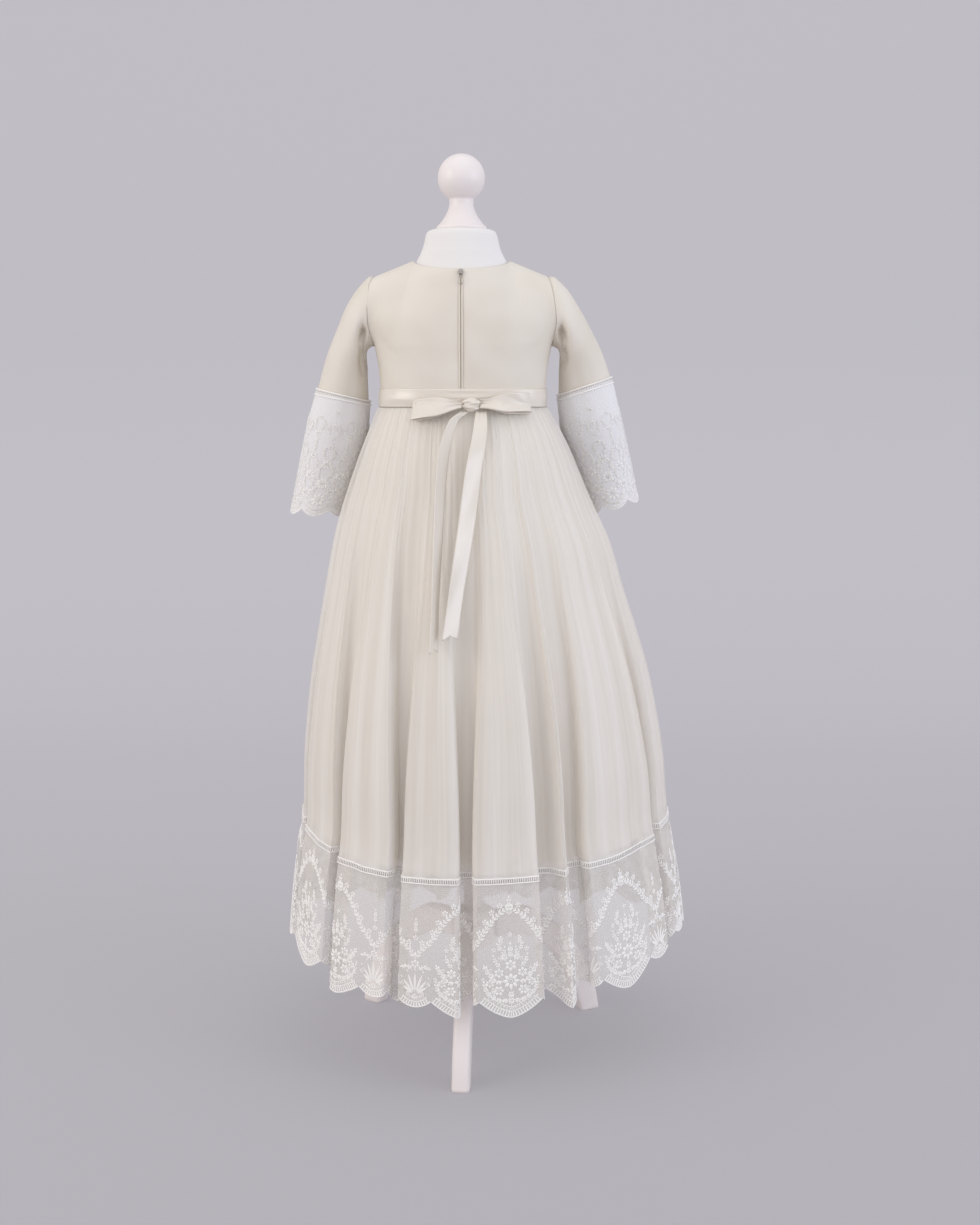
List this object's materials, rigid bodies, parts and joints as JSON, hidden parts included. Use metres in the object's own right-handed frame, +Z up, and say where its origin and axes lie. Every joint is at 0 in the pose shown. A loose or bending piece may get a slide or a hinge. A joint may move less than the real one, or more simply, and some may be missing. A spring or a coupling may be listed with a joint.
{
  "type": "christening gown on a child's dress form",
  "caption": "Long-sleeved christening gown with net skirt, lace hem and cuffs and a ribbon bow at the back, standing on a limbless child's dress form.",
  "frame": {"origin": "middle of the whole's footprint on the floor", "axes": "+Z up; the gown's back, with its zip and bow, faces -Y; +X is to the right of someone looking at the back"},
  "size_m": [0.454, 0.3684, 0.9978],
  "materials": {
    "satin": "ivory duchess satin, matte with a soft sheen",
    "satin_ribbon": "ivory satin ribbon, silky",
    "tulle": "soft sheer ivory net",
    "lining": "plain ivory satin lining",
    "lace": "white embroidered net lace and ladder insertion",
    "zip_metal": "nickel-plated zip slider and wire pull",
    "zip_coil": "ivory nylon coil and tape",
    "jersey": "white cotton jersey stretched over the form",
    "painted_wood": "white satin paint on turned and sawn wood"
  },
  "bodies": {
    "root": {"bodice_front": "satin", "bodice_back_left": "satin", "bodice_back_right": "satin", "sleeve_left": "satin", "sleeve_right": "satin", "sash": "satin_ribbon", "bow_knot": "satin_ribbon", "bow_loop_left": "satin_ribbon", "bow_loop_right": "satin_ribbon", "bow_tail_left": "satin_ribbon", "bow_tail_right": "satin_ribbon", "skirt_net": "tulle", "skirt_lining": "lining", "hem_lace": "lace", "hem_trim": "lace", "cuff_lace_left": "lace", "cuff_lace_right": "lace", "sleeve_trim_left": "lace", "sleeve_trim_right": "lace", "zip_slider": "zip_metal", "zip_tape": "zip_coil", "dress_form": "jersey", "finial": "painted_wood", "pole": "painted_wood", "stand_hub": "painted_wood", "leg_front": "painted_wood", "leg_right": "painted_wood", "leg_left": "painted_wood"},
    "zip_pull": {"zip_pull": "zip_metal"}
  },
  "joints": [
    {"name": "pull_swing", "type": "hinge", "parent": "root", "child": "zip_pull", "pos_m": [-0.02698, -0.05417, 0.86927], "axis": [-1, 0, 0], "range_deg": [0, 145]}
  ]
}
